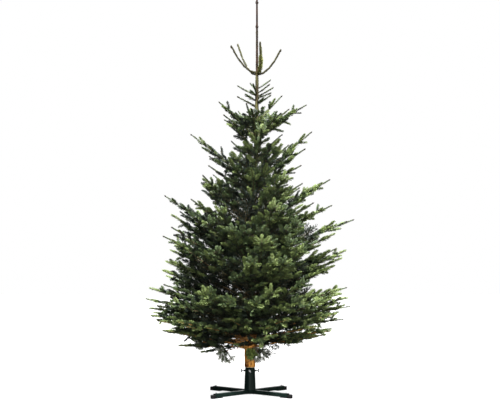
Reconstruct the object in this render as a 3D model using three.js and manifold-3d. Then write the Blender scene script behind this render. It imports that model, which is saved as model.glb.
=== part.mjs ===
// A cut fir sold as a Christmas tree, standing in a painted steel stand with four arms.
// Millimetres, +Z up. The origin is on the floor under the middle of the stand's tube, and -Y is the front.
// Azimuths are in degrees, anticlockwise seen from above, with 0 to the right (+X) and 270 to the front (-Y).

import * as THREE from "three";
import { mergeVertices } from "three/addons/utils/BufferGeometryUtils.js";
import Module from "manifold-3d";

// ---- Driving dimensions ----

const GAP = 0.3; // clearance between solids that touch

// The stand: a slightly conical tube on a round hub, four box-section arms and their plastic feet.
const HUB_RADIUS = 37;
const TUBE_TOP_RADIUS = 31.5;
const TUBE_WALL = 2;
const TUBE_SIDES = 28;
const TUBE_TOP = 172;
const TUBE_FLOOR = 34;
const ARM_SIZE = 25;
const ARM_WALL = 1.5;
const ARM_LIFT = 5; // height of the arms' underside
const ARM_INSET = 4; // from the hub's side to the arms' square ends, before the hub is cut out of them
const ARM_END = 323;
const ARM_TURN = 47.3; // azimuth of the first arm
const FOOT_END = 351;
const FOOT_HEIGHT = 24;
const PAD_START = 262;
const HEX_SIDES = 6; // of a nut or a bolt's head
const BOLT_RADIUS = 6;
const BOLT_HEIGHT = 5;
const BOLT_INSET = 14;
const CLAMP_HEIGHT = 151;
const CLAMP_REACH = 60;
const CLAMP_START = 20; // before the screw is cut where it meets the trunk
const CLAMP_SCREW_RADIUS = 3;
const SCREW_SIDES = 10;
const NUT_RADIUS = 7;
const NUT_LENGTH = 9;
const WING_SPAN = 26;
const WING_WIDTH = 10;
const WING_THICK = 4;
const WING_TILT = 35; // degrees from upright

// The trunk, from its milled butt in the tube to the tip of the leader.
const BUTT = TUBE_FLOOR + GAP;
const MILLED_TOP = TUBE_TOP + 3;
const TREE_TOP = 2590;
const LEAN = 46; // how far the leader stands to the right of the butt
const LEAN_FROM = 250;
const LEAN_TO = 2050;
const TRUNK_SIDES = 12;
const LIMB_SIDES = 6;
const TRUNK_TAPER = [
  // height and radius
  [BUTT, 28.6],
  [MILLED_TOP - 2, 28.6],
  [MILLED_TOP, 35.2],
  [250, 35],
  [322, 37],
  [385, 34],
  [452, 33.5],
  [530, 31.5],
  [615, 30],
  [720, 27.5],
  [823, 26.5],
  [920, 24],
  [1024, 23],
  [1160, 20],
  [1297, 19],
  [1460, 16],
  [1622, 14.5],
  [1800, 12],
  [1960, 10.5],
  [2077, 8],
  [2110, 5.5],
  [2330, 4.5],
  [TREE_TOP - 12, 3.5],
  [TREE_TOP, 2],
];

// The leader's own whorl: thin shoots that leave the stem level and turn up.
const TOP_WHORL_HEIGHT = 2077;
const TOP_WHORL_STAGGER = 12;
const TOP_SHOOT_WOOD = 3.5;
const TOP_SHOOT_NEEDLES = 9; // how far the needles make a shoot's radius more than its wood's
const TOP_SHOOTS = [
  // azimuth, reach and rise
  [2, 158, 163],
  [68, 75, 185],
  [143, 163, 221],
  [183, 172, 173],
  [285, 80, 196],
];

// Whorls of boughs, from the top down. reach and rise are those of a bough to the right, back, left and front.
// bend is the power its height follows along it, and bare is the length of wood that shows before its foliage.
// up and down are how far foliage stands above and below the boughs of the end whorls, and hanging takes
// the place of HANGING.
const WHORLS = [
  {
    name: "second",
    height: 1622,
    azimuths: [2, 78, 180, 262],
    reach: [333, 300, 246, 300],
    rise: [263, 300, 280, 285],
    bend: 0.75,
    bare: 75,
    limbRadius: 6.5,
    up: 45,
    hanging: 0.4,
  },
  {
    name: "third",
    height: 1297,
    azimuths: [4, 97, 178, 276],
    reach: [380, 420, 420, 410],
    rise: [411, 390, 393, 370],
    bend: 0.8,
    hanging: 0.55,
  },
  {
    name: "fourth",
    height: 1024,
    azimuths: [2, 66, 131, 226, 296],
    reach: [506, 505, 500, 500],
    rise: [369, 390, 440, 370],
    bend: 0.82,
  },
  {
    name: "fifth",
    height: 823,
    azimuths: [0, 55, 124, 183, 283],
    reach: [665, 620, 567, 600],
    rise: [309, 400, 461, 350],
    bend: 0.85,
  },
  {
    name: "sixth",
    height: 615,
    azimuths: [4, 84, 148, 216, 276],
    reach: [629, 628, 600, 622],
    rise: [317, 340, 385, 345],
    bend: 0.9,
  },
  {
    name: "seventh",
    height: 452,
    azimuths: [-2, 62, 118, 181, 244],
    reach: [636, 650, 681, 640],
    rise: [175, 240, 168, 215],
    bend: 1,
  },
  {
    name: "lowest",
    height: 322,
    azimuths: [14, 98, 172, 281],
    reach: [560, 560, 580, 540],
    rise: [97, 110, 87, 75],
    bend: 1.05,
    bare: 105,
    limbRadius: 7.5,
    down: 48,
  },
];
const BOUGH_WIDTH = 0.44; // half the width of a mass, as a share of its reach
const WIDEST = 0.41; // where a mass is widest, as a share of its length
const WEDGE_MOST = 60; // most that a mass spreads to either side of its bough, in degrees
const MASS_AROUND = 10;
const MASS_ALONG = 9;
const TIER_GAP = 9; // least height left free between the masses of two whorls
const WEDGE_GAP = 3; // room left beside the plane between two neighbours
const STANDING = 0.3; // share of the height to the whorl above that foliage fills
const HANGING = 0.7; // and of the height to the whorl below
const FULLEST = 1.3; // how soon a mass fills its height, past 1 near the trunk
const TOOTH_OUT = 1.13; // the width of a mass at every other ring
const TOOTH_IN = 0.84; // and at the rings between
const TOOTH_JITTER = 0.06;
const LIMB_IN_MASS = 40;
const LIMB_STEPS = 5;
const LIMB_TAPER = 0.35; // share of its radius that a limb loses before it ends

// A short spray that hangs from the trunk under the lowest whorl, on the left.
const LOW_SPRAY = { azimuth: 197, height: 283, reach: 262, drop: 62 };
const LOW_SPRAY_WOOD = 4;
const LOW_SPRAY_NEEDLES = 24;
const LOW_SPRAY_BARE = 0.28; // share of its length

// ---- Helpers ----

const wasm = await Module();
wasm.setup();

const radians = (degrees) => (degrees * Math.PI) / 180;

// A repeatable stream of numbers from 0 to 1.
function seeded(seed) {
  let state = seed >>> 0;
  return () => {
    state = (Math.imul(state, 1664525) + 1013904223) >>> 0;
    return state / 4294967296;
  };
}

function toSolid(geometry) {
  const bare = new THREE.BufferGeometry();
  bare.setAttribute("position", geometry.getAttribute("position"));
  bare.setIndex(geometry.index);
  const merged = mergeVertices(bare, 1e-3);
  return new wasm.Manifold(
    new wasm.Mesh({
      numProp: 3,
      vertProperties: Float32Array.from(merged.attributes.position.array),
      triVerts: Uint32Array.from(merged.index.array),
    }),
  );
}

function toGeometry(solid) {
  const mesh = solid.getMesh();
  const geometry = new THREE.BufferGeometry();
  geometry.setAttribute(
    "position",
    new THREE.BufferAttribute(mesh.vertProperties, 3),
  );
  geometry.setIndex(new THREE.BufferAttribute(mesh.triVerts, 1));
  geometry.computeVertexNormals();
  return geometry;
}

// Moves each vertex of a geometry to place(vertex), which returns a new point.
function reshape(geometry, place) {
  const position = geometry.getAttribute("position");
  const vertex = new THREE.Vector3();
  for (let i = 0; i < position.count; i++) {
    vertex.fromBufferAttribute(position, i);
    const moved = place(vertex);
    position.setXYZ(i, moved.x, moved.y, moved.z);
  }
  return geometry;
}

// A tapering limb through stations of { point, radius }: a cylinder with a ring at each one.
function limbGeometry(stations, sides, grow = 0, level = false) {
  const last = stations.length - 1;
  const cylinder = new THREE.CylinderGeometry(1, 1, 1, sides, last);
  const up = new THREE.Vector3(0, 0, 1);
  return reshape(cylinder, (v) => {
    const k = Math.round((v.y + 0.5) * last);
    const { point, radius } = stations[k];
    const before = stations[Math.max(k - 1, 0)].point;
    const after = stations[Math.min(k + 1, last)].point;
    const along = level ? up : after.clone().sub(before).normalize();
    const side = level
      ? new THREE.Vector3(1, 0, 0)
      : along.clone().cross(up).normalize();
    const across = side.clone().cross(along);
    const size = radius + grow * Math.SQRT2;
    const end = k === last ? grow : 0;
    return point
      .clone()
      .addScaledVector(side, v.x * size)
      .addScaledVector(across, v.z * size)
      .addScaledVector(along, end);
  });
}

function namedMesh(name, geometry, material) {
  const mesh = new THREE.Mesh(geometry, material);
  mesh.name = name;
  return mesh;
}

// ---- Materials ----

const bark = new THREE.MeshStandardMaterial({
  color: 0x9a6a35,
  roughness: 0.9,
});
const foliage = new THREE.MeshStandardMaterial({
  color: 0x3c4a28,
  roughness: 0.7,
});
const greenPaint = new THREE.MeshStandardMaterial({
  color: 0x27332d,
  roughness: 0.4,
  metalness: 0.2,
});
const blackPlastic = new THREE.MeshStandardMaterial({
  color: 0x0c0d0e,
  roughness: 0.5,
});
const zinc = new THREE.MeshStandardMaterial({
  color: 0xb4b6b6,
  roughness: 0.35,
  metalness: 1,
});

// ---- Stand ----

// The tube and the hub under it are one welded piece, with a threaded boss for each clamping screw.
function standTube() {
  const inner = TUBE_TOP_RADIUS - TUBE_WALL;
  const profile = [
    [0, ARM_LIFT],
    [HUB_RADIUS, ARM_LIFT],
    [HUB_RADIUS, ARM_LIFT + ARM_SIZE],
    [TUBE_TOP_RADIUS, TUBE_TOP],
    [inner, TUBE_TOP],
    [HUB_RADIUS - TUBE_WALL, TUBE_FLOOR],
    [0, TUBE_FLOOR],
  ].map(([x, y]) => new THREE.Vector2(x, y));
  const lathe = new THREE.LatheGeometry(profile, TUBE_SIDES);
  lathe.rotateX(Math.PI / 2);
  let solid = toSolid(lathe);
  for (let k = 0; k < 4; k++) {
    const turn = (k * Math.PI) / 2;
    const nut = new THREE.CylinderGeometry(
      NUT_RADIUS,
      NUT_RADIUS,
      NUT_LENGTH,
      HEX_SIDES,
    );
    nut.rotateZ(Math.PI / 2);
    nut.translate(TUBE_TOP_RADIUS + NUT_LENGTH / 2, 0, CLAMP_HEIGHT);
    nut.rotateZ(turn);
    solid = solid.add(toSolid(nut));
  }
  for (let k = 0; k < 4; k++) {
    const hole = clampRod(CLAMP_SCREW_RADIUS + GAP, CLAMP_START, CLAMP_REACH);
    hole.rotateZ((k * Math.PI) / 2);
    solid = solid.subtract(toSolid(hole));
  }
  return toGeometry(solid);
}

// A rod along +X at the clamps' height, from x = start to x = end.
function clampRod(radius, start, end) {
  const rod = new THREE.CylinderGeometry(
    radius,
    radius,
    end - start,
    SCREW_SIDES,
  );
  rod.rotateZ(Math.PI / 2);
  rod.translate((start + end) / 2, 0, CLAMP_HEIGHT);
  return rod;
}

// A wing screw that bears on the milled butt of the trunk.
function clampScrew(trunk, turn) {
  const rod = clampRod(CLAMP_SCREW_RADIUS, CLAMP_START, CLAMP_REACH);
  const wing = new THREE.BoxGeometry(WING_WIDTH, WING_THICK, WING_SPAN);
  wing.rotateX(radians(WING_TILT));
  wing.translate(CLAMP_REACH - WING_WIDTH / 2, 0, CLAMP_HEIGHT);
  rod.rotateZ(turn);
  wing.rotateZ(turn);
  return toGeometry(toSolid(rod).add(toSolid(wing)).subtract(trunk));
}

// A box-section arm along +X, open at its outer end, with the bolt that holds its foot.
function standArm() {
  const half = ARM_SIZE / 2;
  const section = new THREE.Shape([
    new THREE.Vector2(-half, -half),
    new THREE.Vector2(half, -half),
    new THREE.Vector2(half, half),
    new THREE.Vector2(-half, half),
  ]);
  const bore = half - ARM_WALL;
  section.holes.push(
    new THREE.Path([
      new THREE.Vector2(-bore, -bore),
      new THREE.Vector2(-bore, bore),
      new THREE.Vector2(bore, bore),
      new THREE.Vector2(bore, -bore),
    ]),
  );
  const start = HUB_RADIUS - ARM_INSET;
  const bar = new THREE.ExtrudeGeometry(section, {
    depth: ARM_END - start,
    bevelEnabled: false,
  });
  bar.rotateY(Math.PI / 2);
  bar.translate(start, 0, ARM_LIFT + half);
  const boltLength = BOLT_HEIGHT + ARM_WALL;
  const bolt = new THREE.CylinderGeometry(
    BOLT_RADIUS,
    BOLT_RADIUS,
    boltLength,
    HEX_SIDES,
  );
  bolt.rotateX(Math.PI / 2);
  bolt.translate(
    ARM_END - BOLT_INSET,
    0,
    ARM_LIFT + ARM_SIZE - ARM_WALL + boltLength / 2,
  );
  const hub = new THREE.CylinderGeometry(
    HUB_RADIUS + GAP,
    HUB_RADIUS + GAP,
    TUBE_TOP,
    TUBE_SIDES,
  );
  hub.rotateX(Math.PI / 2);
  return toSolid(bar).add(toSolid(bolt)).subtract(toSolid(hub));
}

// A plastic foot: a block past the arm's end, on a pad that runs back under the arm.
function standFoot() {
  const blockStart = ARM_END + GAP;
  const block = new THREE.BoxGeometry(
    FOOT_END - blockStart,
    ARM_SIZE,
    FOOT_HEIGHT,
  );
  block.translate((blockStart + FOOT_END) / 2, 0, FOOT_HEIGHT / 2);
  const padHeight = ARM_LIFT - GAP;
  const padEnd = FOOT_END - 2;
  const pad = new THREE.BoxGeometry(padEnd - PAD_START, ARM_SIZE, padHeight);
  pad.translate((PAD_START + padEnd) / 2, 0, padHeight / 2);
  return toSolid(block).add(toSolid(pad));
}

// ---- Trunk, boughs and foliage ----

// Where the trunk's axis is at a height.
function trunkAxis(z) {
  const t = THREE.MathUtils.smoothstep(z, LEAN_FROM, LEAN_TO);
  return new THREE.Vector3(LEAN * t, 0, z);
}

function trunkGeometry(grow) {
  const stations = TRUNK_TAPER.map(([z, radius]) => ({
    point: trunkAxis(z),
    radius,
  }));
  return limbGeometry(stations, TRUNK_SIDES, grow, true);
}

// A value for any azimuth from those to the right, back, left and front.
function around([right, back, left, front], azimuth) {
  const c = Math.cos(azimuth);
  const s = Math.sin(azimuth);
  return (c > 0 ? right : left) * c * c + (s > 0 ? back : front) * s * s;
}

// Height of the middle of a whorl's foliage, at a distance and azimuth from the trunk.
function tierHeight(whorl, distance, azimuth) {
  const share = distance / around(whorl.reach, azimuth);
  return whorl.height + around(whorl.rise, azimuth) * share ** whorl.bend;
}

// The height that a whorl's foliage takes towards the whorl beside it in the list, or the value given for none.
function heightTowards(other, whorl, distance, azimuth, share, none) {
  if (!other) return none;
  const here = tierHeight(whorl, distance, azimuth);
  const there = tierHeight(other, distance, azimuth);
  return share * (Math.abs(there - here) - TIER_GAP);
}

// A limb from the trunk's middle along a bough, ending in its foliage.
function boughStations(whorl, azimuth, length) {
  const root = trunkAxis(whorl.height);
  return Array.from({ length: LIMB_STEPS + 1 }, (_, k) => {
    const distance = (length * k) / LIMB_STEPS;
    const z = tierHeight(whorl, distance, azimuth);
    return {
      point: new THREE.Vector3(
        root.x + distance * Math.cos(azimuth),
        root.y + distance * Math.sin(azimuth),
        z,
      ),
      radius: whorl.limbRadius * (1 - (LIMB_TAPER * k) / LIMB_STEPS),
    };
  });
}

// Half the turn from one bough to the next in its whorl, which is the side of its wedge, in radians.
function halfTurn(azimuths, k, step) {
  const next = azimuths[(k + step + azimuths.length) % azimuths.length];
  const turn = THREE.MathUtils.euclideanModulo((next - azimuths[k]) * step, 360);
  return radians(Math.min(turn / 2, WEDGE_MOST));
}

// The mass of foliage on one bough: a flattened spindle with an uneven, toothed edge.
// It keeps to the wedge between its neighbours in the whorl and between the whorls above and below.
function boughMass(index, k, seed) {
  const whorl = WHORLS[index];
  const azimuth = radians(whorl.azimuths[k]);
  const wedgeLeft = halfTurn(whorl.azimuths, k, 1);
  const wedgeRight = halfTurn(whorl.azimuths, k, -1);
  const reach = around(whorl.reach, azimuth);
  const start = whorl.bare ?? 0;
  const root = trunkAxis(whorl.height);
  const outward = new THREE.Vector3(Math.cos(azimuth), Math.sin(azimuth), 0);
  const side = new THREE.Vector3(Math.sin(azimuth), -Math.cos(azimuth), 0);
  const random = seeded(seed);
  const phase = random() * 2 * Math.PI;
  const teeth = Array.from(
    { length: MASS_ALONG + 1 },
    (_, i) => (i % 2 ? TOOTH_OUT : TOOTH_IN) + TOOTH_JITTER * (2 * random() - 1),
  );
  const sphere = new THREE.SphereGeometry(1, MASS_AROUND, MASS_ALONG);
  return reshape(sphere, (v) => {
    const t = 1 - Math.acos(THREE.MathUtils.clamp(v.y, -1, 1)) / Math.PI;
    const ring = Math.max(Math.hypot(v.x, v.z), 1e-6);
    const share = t < 1e-4 ? 0 : t > 1 - 1e-4 ? 1 : t;
    const distance = start + (reach - start) * share;
    const outline =
      ((1 - share) / (1 - WIDEST)) * (share / WIDEST) ** (WIDEST / (1 - WIDEST));
    const tooth = teeth[Math.round(t * MASS_ALONG)];
    let across = (v.x / ring) * BOUGH_WIDTH * reach * outline * tooth;
    const wedge = across > 0 ? wedgeRight : wedgeLeft;
    const most = Math.max(distance * Math.tan(wedge) - WEDGE_GAP, 0);
    across = THREE.MathUtils.clamp(across, -most, most);
    const point = root
      .clone()
      .addScaledVector(outward, distance)
      .addScaledVector(side, across);
    const spot = Math.atan2(point.y - root.y, point.x - root.x);
    const far = Math.hypot(point.x - root.x, point.y - root.y);
    const fullness = FULLEST * (1 - share) ** 0.5 * share ** 0.2;
    const lump = 1 + 0.15 * Math.sin(9 * share + phase + 2 * (v.x / ring));
    const above = heightTowards(WHORLS[index - 1], whorl, far, spot, STANDING, whorl.up);
    const hang = whorl.hanging ?? HANGING;
    const below = heightTowards(WHORLS[index + 1], whorl, far, spot, hang, whorl.down);
    const thick = (v.z > 0 ? above : below) * Math.min(fullness * lump, 1);
    point.z = tierHeight(whorl, far, spot) + (v.z / ring) * thick;
    return point;
  });
}

// A top shoot: bare and level where it leaves the stem, then turning up to its bud.
function topShoot([azimuth, reach, rise], k) {
  const root = trunkAxis(TOP_WHORL_HEIGHT + (k % 2) * TOP_WHORL_STAGGER);
  const at = (r, z) =>
    new THREE.Vector3(
      root.x + r * Math.cos(radians(azimuth)),
      root.y + r * Math.sin(radians(azimuth)),
      root.z + z,
    );
  const curve = new THREE.QuadraticBezierCurve3(
    at(0, 0),
    at(0.5 * reach, 0),
    at(reach, rise),
  );
  const steps = 8;
  const stations = curve.getPoints(steps).map((point, i) => {
    const needles = Math.sin((Math.PI * i) / steps) ** 1.2;
    return { point, radius: TOP_SHOOT_WOOD + TOP_SHOOT_NEEDLES * needles };
  });
  return limbGeometry(stations, LIMB_SIDES);
}

// The low spray's twig runs out level, bends down and carries its foliage past the bare part.
function lowSpray() {
  const { azimuth, height, reach, drop } = LOW_SPRAY;
  const turn = radians(azimuth);
  const steps = 9;
  const stations = Array.from({ length: steps + 1 }, (_, k) => {
    const t = k / steps;
    const leafy = Math.max((t - LOW_SPRAY_BARE) / (1 - LOW_SPRAY_BARE), 0);
    return {
      point: new THREE.Vector3(
        reach * t * Math.cos(turn),
        reach * t * Math.sin(turn),
        height - drop * t * t,
      ),
      radius: LOW_SPRAY_WOOD + LOW_SPRAY_NEEDLES * Math.sin(Math.PI * leafy),
    };
  });
  return limbGeometry(stations, LIMB_SIDES);
}

// ---- Assembly ----

const tree = new THREE.Group();

const trunkRoom = toSolid(trunkGeometry(GAP));
tree.add(namedMesh("trunk", trunkGeometry(0), bark));
tree.add(namedMesh("stand_tube", standTube(), greenPaint));

const arm = toGeometry(standArm());
const foot = toGeometry(standFoot());
for (let k = 0; k < 4; k++) {
  const armMesh = namedMesh(`stand_arm_${k + 1}`, arm, greenPaint);
  const footMesh = namedMesh(`stand_foot_${k + 1}`, foot, blackPlastic);
  const turn = radians(ARM_TURN + 90 * k);
  armMesh.rotation.z = turn;
  footMesh.rotation.z = turn;
  const screw = clampScrew(trunkRoom, (k * Math.PI) / 2);
  tree.add(armMesh, footMesh, namedMesh(`clamp_screw_${k + 1}`, screw, zinc));
}

TOP_SHOOTS.forEach((shoot, k) => {
  const solid = toSolid(topShoot(shoot, k)).subtract(trunkRoom);
  tree.add(namedMesh(`top_shoot_${k + 1}`, toGeometry(solid), foliage));
});

WHORLS.forEach((whorl, index) => {
  whorl.azimuths.forEach((degrees, k) => {
    const azimuth = radians(degrees);
    let mass = toSolid(boughMass(index, k, 31 * index + k + 1));
    if (whorl.bare) {
      const length = whorl.bare + LIMB_IN_MASS;
      const stations = boughStations(whorl, azimuth, length);
      const limb = toSolid(limbGeometry(stations, LIMB_SIDES)).subtract(trunkRoom);
      const name = `${whorl.name}_bough_${k + 1}`;
      tree.add(namedMesh(name, toGeometry(limb), bark));
      mass = mass.subtract(toSolid(limbGeometry(stations, LIMB_SIDES, GAP)));
    }
    const geometry = toGeometry(mass.subtract(trunkRoom));
    tree.add(namedMesh(`${whorl.name}_foliage_${k + 1}`, geometry, foliage));
  });
});

const spray = toSolid(lowSpray()).subtract(trunkRoom);
tree.add(namedMesh("low_spray", toGeometry(spray), foliage));

export default tree;
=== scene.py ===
"""A cut fir Christmas tree in its painted steel stand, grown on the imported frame.

Metres, +Z up, -Y is the front.
"""

from math import atan2, ceil, copysign, cos, degrees, pi, radians, sin, sqrt

import bmesh
import bpy
import numpy as np
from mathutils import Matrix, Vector, noise


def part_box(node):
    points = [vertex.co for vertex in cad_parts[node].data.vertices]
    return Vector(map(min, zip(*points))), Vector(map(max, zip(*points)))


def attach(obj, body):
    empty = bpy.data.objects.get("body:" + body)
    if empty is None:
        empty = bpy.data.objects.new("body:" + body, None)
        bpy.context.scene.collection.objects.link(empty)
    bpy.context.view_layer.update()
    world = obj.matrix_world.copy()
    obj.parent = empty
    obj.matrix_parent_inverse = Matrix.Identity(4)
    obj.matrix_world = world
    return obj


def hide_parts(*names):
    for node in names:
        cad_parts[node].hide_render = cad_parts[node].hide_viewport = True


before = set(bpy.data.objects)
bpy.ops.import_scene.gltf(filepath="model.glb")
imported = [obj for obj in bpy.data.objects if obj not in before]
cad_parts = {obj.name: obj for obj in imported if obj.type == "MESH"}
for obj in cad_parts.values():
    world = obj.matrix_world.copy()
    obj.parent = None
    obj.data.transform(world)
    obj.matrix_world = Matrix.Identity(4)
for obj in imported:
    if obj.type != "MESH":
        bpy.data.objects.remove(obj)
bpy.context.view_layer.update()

# ---- Driving sizes ----

# The camera stands in front of the tree, a little under a person's waist, and looks slightly up.
CAMERA_DISTANCE = 6.63
CAMERA_HEIGHT = 0.772
CAMERA_PITCH = radians(4.137)
CAMERA_LENS = 73.44  # mm
CAMERA_SENSOR = 36  # mm

# Heights of the whorls on the trunk, and how their boughs grow. years is the number of yearly growths of a
# bough, bend the power that its height follows, bare the share of it that has no needles, wood the radius of
# its limb at the trunk, and front the share of its length that a bough towards the front has.
WHORLS = {
    "second": dict(height=1.622, years=4, bend=0.75, bare=0.15, wood=0.0055, zone="top", front=0.7),
    "third": dict(height=1.297, years=4, bend=0.8, bare=0.12, wood=0.0065, zone="top"),
    "fourth": dict(height=1.024, years=6, bend=0.82, bare=0.1, wood=0.008, zone="middle", front=0.9),
    "fifth": dict(height=0.823, years=7, bend=0.85, bare=0.1, wood=0.0095, zone="middle"),
    "sixth": dict(height=0.615, years=7, bend=0.9, bare=0.12, wood=0.0105, zone="low"),
    "seventh": dict(height=0.452, years=8, bend=1.0, bare=0.15, wood=0.011, zone="low"),
    "lowest": dict(height=0.322, years=6, bend=1.05, bare=0.36, wood=0.011, zone="foot"),
}
TOP_WHORL = 2.077
TOP_SHOOTS = [f"top_shoot_{k + 1}" for k in range(5)]
NEEDLED_STEM = (1.72, 2.06)  # heights between which the stem bears close needles
NEEDLED_LEADER = (2.1, 2.38)
LEADER_BUDS = (2.393, 2.556)
LEADER_BARK = 0.0024  # how far the leader's rough bark stands out of its core

SEED = 8
GOLDEN_TURN = radians(137.5)
GOLDEN_SHARE = 0.618034
QUARTER = pi / 2
UP = np.array([0.0, 0.0, 1.0])


# ---- Small helpers ----

def unit(v):
    """A vector at length 1, or each row of an array."""
    if v.ndim == 1:
        return v / max(np.linalg.norm(v), 1e-9)
    return v / np.maximum(np.linalg.norm(v, axis=1, keepdims=True), 1e-9)


def across(way, up=UP):
    """Two directions across a way: to its right, and out of its upper side."""
    side = unit(np.cross(way, up))
    return side, np.cross(side, way)


def polar(azimuth, distance, z=0.0):
    """The point at an azimuth and a distance from the axis, at a height."""
    return np.array([distance * cos(azimuth), distance * sin(azimuth), z])


def ring_angles(count):
    return np.linspace(0, 2 * pi, count, endpoint=False)


def node_points(node):
    """The vertices of a CAD node."""
    return np.array([v.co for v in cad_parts[node].data.vertices])


def tube_faces(rings, sides):
    """Quads between rings of vertices, as an array."""
    ring = np.arange(rings - 1)[:, None] * sides
    k = np.arange(sides)[None, :]
    after = (k + 1) % sides
    quads = np.stack([ring + k, ring + after, ring + sides + after, ring + sides + k], axis=-1)
    return quads.reshape(-1, 4)


def solid_faces(rings, sides, looped=False):
    """Faces of a solid on rings of vertices, which has two flat ends, or is looped and has none."""
    faces = [tuple(quad) for quad in tube_faces(rings, sides).tolist()]
    last = (rings - 1) * sides
    if looped:
        return faces + [(last + k, last + (k + 1) % sides, (k + 1) % sides, k) for k in range(sides)]
    return faces + [tuple(reversed(range(sides))), tuple(range(last, last + sides))]


def add_object(name, data):
    made = bpy.data.objects.new(name, data)
    bpy.context.scene.collection.objects.link(made)
    return made


def turned(vertices, azimuth):
    """Vertices turned about the upright axis."""
    c, s = cos(azimuth), sin(azimuth)
    v = np.asarray(vertices, float)
    return np.stack([v[:, 0] * c - v[:, 1] * s, v[:, 0] * s + v[:, 1] * c, v[:, 2]], axis=1)


def new_piece(name, shape, material, replaced=(), smooth=False, azimuth=None):
    """A piece. shape is its vertices and faces, in arrays or lists, where +X lies towards the azimuth."""
    vertices, faces = shape
    if azimuth is not None:
        vertices = turned(vertices, azimuth)
    mesh = bpy.data.meshes.new(name)
    mesh.from_pydata(vertices, [], faces)
    mesh.polygons.foreach_set("use_smooth", np.full(len(faces), smooth))
    mesh.materials.append(material)
    piece = add_object(name, mesh)
    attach(piece, "root")
    if replaced:
        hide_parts(*replaced)


def joined(shapes):
    """One shape from several."""
    faces = []
    start = 0
    for vertices, own in shapes:
        faces += [[i + start for i in face] for face in own]
        start += len(vertices)
    return np.concatenate([vertices for vertices, _ in shapes]), faces


def lathe(name, profile, sides, material, replaced=(), axis=(0, 0)):
    """A turned piece: profile is a list of (z, radius) from one end to the other."""
    vertices = [
        (axis[0] + r * cos(a), axis[1] + r * sin(a), z)
        for z, r in profile
        for a in ring_angles(sides)
    ]
    new_piece(name, (vertices, solid_faces(len(profile), sides)), material, replaced, smooth=True)


# ---- Materials ----

def set_inputs(node, **values):
    """Sets inputs of a node. An underscore stands for a space."""
    for name, value in values.items():
        node.inputs[name.replace("_", " ")].default_value = value


def new_node(tree, kind, **values):
    node = tree.nodes.new("ShaderNode" + kind)
    set_inputs(node, **values)
    return node


def new_material(name, **values):
    """A Principled material, and its node tree and shader."""
    material = bpy.data.materials.new(name)
    material.use_nodes = True
    tree = material.node_tree
    shader = tree.nodes["Principled BSDF"]
    set_inputs(shader, **values)
    return material, tree, shader


def add_noise(tree, scale, detail, stretch=(1, 1, 1)):
    """A noise texture in the object's own coordinates."""
    place = new_node(tree, "TexCoord")
    mapping = new_node(tree, "Mapping", Scale=stretch)
    texture = new_node(tree, "TexNoise", Scale=scale, Detail=detail)
    tree.links.new(place.outputs["Object"], mapping.inputs["Vector"])
    tree.links.new(mapping.outputs["Vector"], texture.inputs["Vector"])
    return texture.outputs["Fac"]


def add_ramp(tree, value, stops):
    """A colour ramp over a value. stops is a list of (position, colour)."""
    ramp = new_node(tree, "ValToRGB")
    elements = ramp.color_ramp.elements
    while len(elements) < len(stops):
        elements.new(0.5)
    for element, (position, colour) in zip(elements, stops):
        element.position = position
        element.color = (*colour, 1)
    tree.links.new(value, ramp.inputs["Fac"])
    return ramp.outputs["Color"]


def add_bump(tree, shader, value, strength, distance):
    bump = new_node(tree, "Bump", Strength=strength, Distance=distance)
    tree.links.new(value, bump.inputs["Height"])
    tree.links.new(bump.outputs["Normal"], shader.inputs["Normal"])


def speckled_material(
    name, dark, light, roughness, scale, bump=0.0, detail=5, gloss=0.2, metallic=0.0, stretch=(1, 1, 1)
):
    """Two near shades, and a fine relief where a bump is given."""
    finish = dict(Roughness=roughness, Metallic=metallic, Specular_IOR_Level=gloss)
    material, tree, shader = new_material(name, **finish)
    colour = add_ramp(tree, add_noise(tree, scale, detail, stretch), [(0.35, dark), (0.65, light)])
    tree.links.new(colour, shader.inputs["Base Color"])
    if bump:
        add_bump(tree, shader, add_noise(tree, 6 * scale, 3, stretch), 0.35, bump)
    return material


# Tones young, grown and old: partly the needles' age, partly painted light; old is bluish painted shade deep
# in the crown.
NEEDLES = {
    tone: speckled_material("needles_" + tone, dark, light, roughness, 55, detail=2, gloss=0.45)
    for tone, dark, light, roughness in [
        ("young", (0.088, 0.119, 0.04), (0.145, 0.185, 0.066), 0.42),
        ("grown", (0.038, 0.058, 0.024), (0.066, 0.094, 0.038), 0.42),
        ("old", (0.01, 0.0155, 0.011), (0.02, 0.028, 0.018), 0.45),
        ("pale", (0.15, 0.16, 0.12), (0.24, 0.25, 0.2), 0.5),
        ("fresh", (0.08, 0.115, 0.028), (0.135, 0.18, 0.048), 0.42),
        ("stem", (0.024, 0.026, 0.009), (0.046, 0.048, 0.017), 0.45),
        ("olive", (0.065, 0.072, 0.018), (0.115, 0.122, 0.035), 0.45),
    ]
}


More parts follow.
